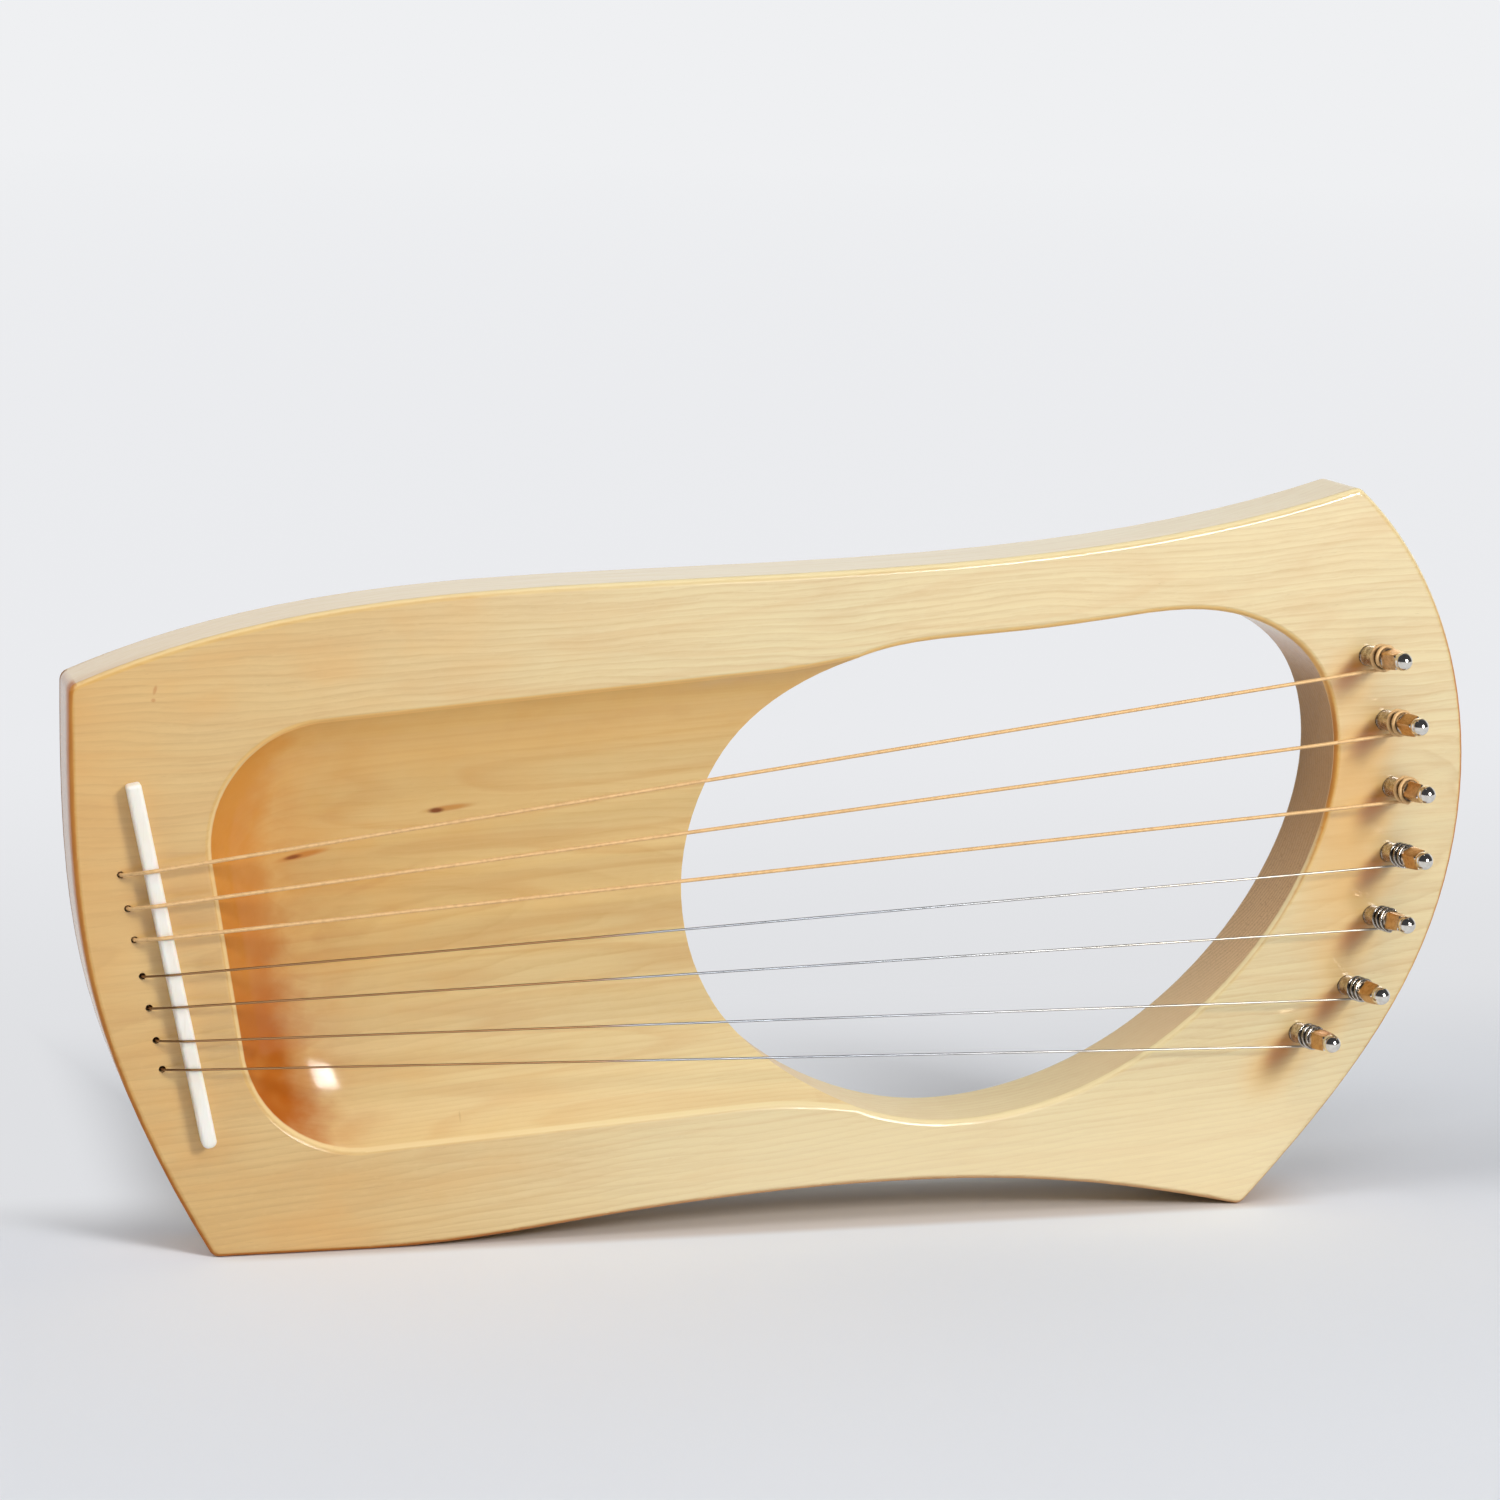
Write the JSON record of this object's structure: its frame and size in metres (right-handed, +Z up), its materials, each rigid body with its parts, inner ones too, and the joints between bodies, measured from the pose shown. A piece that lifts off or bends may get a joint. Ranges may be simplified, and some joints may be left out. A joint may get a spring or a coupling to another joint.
{
  "type": "lyre",
  "caption": "Small solid-wood lyre: a waisted plank with a carved bowl and an egg-shaped opening, strings over a bone bridge to leaning steel tuning pins.",
  "frame": {"origin": "middle of the object's bounding box, at the surface the lower edge stands on", "axes": "+X along the lyre from the bridge end to the tuning pins, +Y from the front face to the back face, +Z up from the lower edge to the upper edge"},
  "size_m": [0.3799, 0.0436, 0.1988],
  "materials": {
    "wood": "clear satin lacquer on pale maple or birch",
    "bone": "polished bone or bone-like plastic",
    "pin": "bright nickel plate",
    "wound_string": "bronze winding",
    "plain_string": "drawn steel wire",
    "brass": "turned brass"
  },
  "bodies": {
    "plank": {"body": "wood", "bridge": "bone", "string_1": "wound_string", "ball_end_1": "brass", "string_2": "wound_string", "ball_end_2": "brass", "string_3": "wound_string", "ball_end_3": "brass", "string_4": "plain_string", "ball_end_4": "brass", "string_5": "plain_string", "ball_end_5": "brass", "string_6": "plain_string", "ball_end_6": "brass", "string_7": "plain_string", "ball_end_7": "brass"},
    "pin_1": {"tuning_pin_1": "pin", "string_coil_1": "wound_string"},
    "pin_2": {"tuning_pin_2": "pin", "string_coil_2": "wound_string"},
    "pin_3": {"tuning_pin_3": "pin", "string_coil_3": "wound_string"},
    "pin_4": {"tuning_pin_4": "pin", "string_coil_4": "plain_string"},
    "pin_5": {"tuning_pin_5": "pin", "string_coil_5": "plain_string"},
    "pin_6": {"tuning_pin_6": "pin", "string_coil_6": "plain_string"},
    "pin_7": {"tuning_pin_7": "pin", "string_coil_7": "plain_string"}
  },
  "joints": [
    {"name": "tuning_pin_1_turn", "type": "hinge", "parent": "plank", "child": "pin_1", "pos_m": [0.1595, -0.00322, 0.1533], "axis": [0.1651, -0.9848, 0.0537], "range_deg": [-360, 45]},
    {"name": "tuning_pin_2_turn", "type": "hinge", "parent": "plank", "child": "pin_2", "pos_m": [0.1655, -0.00322, 0.1354], "axis": [0.1651, -0.9848, 0.0537], "range_deg": [-360, 45]},
    {"name": "tuning_pin_3_turn", "type": "hinge", "parent": "plank", "child": "pin_3", "pos_m": [0.1688, -0.00322, 0.1168], "axis": [0.1651, -0.9848, 0.0537], "range_deg": [-360, 45]},
    {"name": "tuning_pin_4_turn", "type": "hinge", "parent": "plank", "child": "pin_4", "pos_m": [0.1693, -0.00322, 0.0985], "axis": [0.1651, -0.9848, 0.0537], "range_deg": [-360, 45]},
    {"name": "tuning_pin_5_turn", "type": "hinge", "parent": "plank", "child": "pin_5", "pos_m": [0.1653, -0.00322, 0.0809], "axis": [0.1651, -0.9848, 0.0537], "range_deg": [-360, 45]},
    {"name": "tuning_pin_6_turn", "type": "hinge", "parent": "plank", "child": "pin_6", "pos_m": [0.159, -0.00322, 0.0613], "axis": [0.1651, -0.9848, 0.0537], "range_deg": [-360, 45]},
    {"name": "tuning_pin_7_turn", "type": "hinge", "parent": "plank", "child": "pin_7", "pos_m": [0.1453, -0.00322, 0.0484], "axis": [0.1651, -0.9848, 0.0537], "range_deg": [-360, 45]}
  ]
}
